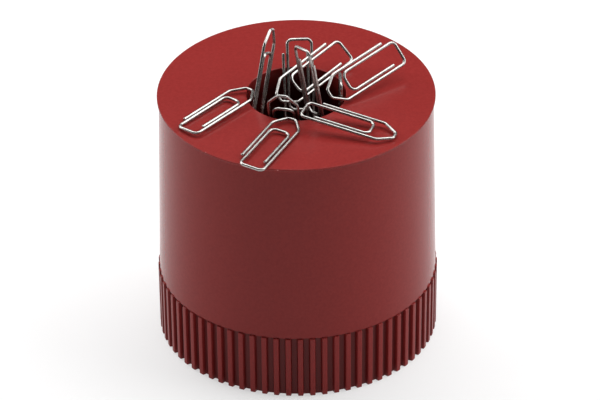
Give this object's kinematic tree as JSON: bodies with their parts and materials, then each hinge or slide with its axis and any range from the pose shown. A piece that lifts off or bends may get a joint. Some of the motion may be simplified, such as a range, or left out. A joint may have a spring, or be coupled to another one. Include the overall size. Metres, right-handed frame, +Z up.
{
  "type": "magnetic paper clip dispenser",
  "caption": "Cylindrical magnetic desk holder with a round well in its flat top and a ribbed lift-off base, with pointed wire paper clips on the top and in the store.",
  "frame": {"origin": "centre of the underside, where the pad meets the desk", "axes": "+Z up along the cylinder's axis, -Y towards the front, +X to the right seen from the front"},
  "size_m": [0.0742, 0.0747, 0.0871],
  "materials": {
    "red_cap": "semi-gloss with a fine moulded grain",
    "red_base": "semi-gloss",
    "ferrite": "sintered grey-black",
    "zinc_steel": "zinc plated",
    "black_plastic": "matte",
    "foam_pad": "fine-cell foam",
    "wire": "bright nickel-plated wire"
  },
  "bodies": {
    "base": {"base_cup": "red_base", "foot_pad": "foam_pad", "clip_stored_1": "wire", "clip_stored_2": "wire", "clip_stored_3": "wire", "clip_stored_4": "wire", "clip_stored_5": "wire", "clip_stored_6": "wire"},
    "cap": {"cap": "red_cap", "ring_magnet": "ferrite", "pole_plate": "zinc_steel", "retainer_ring": "black_plastic", "clip_standing_right": "wire"},
    "clip_left_body": {"clip_left": "wire"},
    "clip_front_body": {"clip_front": "wire"},
    "clip_right_body": {"clip_right": "wire"},
    "clip_leaning_body": {"clip_leaning": "wire"},
    "clip_leaning_back_body": {"clip_leaning_back": "wire"},
    "clip_standing_left_body": {"clip_standing_left": "wire"},
    "clip_standing_front_body": {"clip_standing_front": "wire"},
    "clip_standing_centre_body": {"clip_standing_centre": "wire"},
    "clip_standing_back_body": {"clip_standing_back": "wire"}
  },
  "joints": [
    {"name": "cap_lift", "type": "slide", "parent": "base", "child": "cap", "axis": [0, 0, 1], "range_m": [0, 0.06]},
    {"name": "clip_left_pull", "type": "slide", "parent": "cap", "child": "clip_left_body", "axis": [-0.6634, -0.5567, 0.5], "range_m": [0, 0.025]},
    {"name": "clip_front_pull", "type": "slide", "parent": "cap", "child": "clip_front_body", "axis": [-0.1504, -0.8529, 0.5], "range_m": [0, 0.025]},
    {"name": "clip_right_pull", "type": "slide", "parent": "cap", "child": "clip_right_body", "axis": [0.5868, -0.4924, 0.6428], "range_m": [0, 0.025]},
    {"name": "clip_leaning_pull", "type": "slide", "parent": "cap", "child": "clip_leaning_body", "axis": [0.866, 0, 0.5], "range_m": [0, 0.025]},
    {"name": "clip_leaning_back_pull", "type": "slide", "parent": "cap", "child": "clip_leaning_back_body", "axis": [0.3214, 0.5567, 0.766], "range_m": [0, 0.025]},
    {"name": "clip_standing_left_pull", "type": "slide", "parent": "cap", "child": "clip_standing_left_body", "axis": [0.171, 0.2962, 0.9397], "range_m": [0, 0.025]},
    {"name": "clip_standing_front_pull", "type": "slide", "parent": "cap", "child": "clip_standing_front_body", "axis": [-0.0594, -0.3368, 0.9397], "range_m": [0, 0.025]},
    {"name": "clip_standing_centre_pull", "type": "slide", "parent": "cap", "child": "clip_standing_centre_body", "axis": [0.0449, -0.2549, 0.9659], "range_m": [0, 0.025]},
    {"name": "clip_standing_back_pull", "type": "slide", "parent": "cap", "child": "clip_standing_back_body", "axis": [0.0868, 0.4924, 0.866], "range_m": [0, 0.025]}
  ]
}
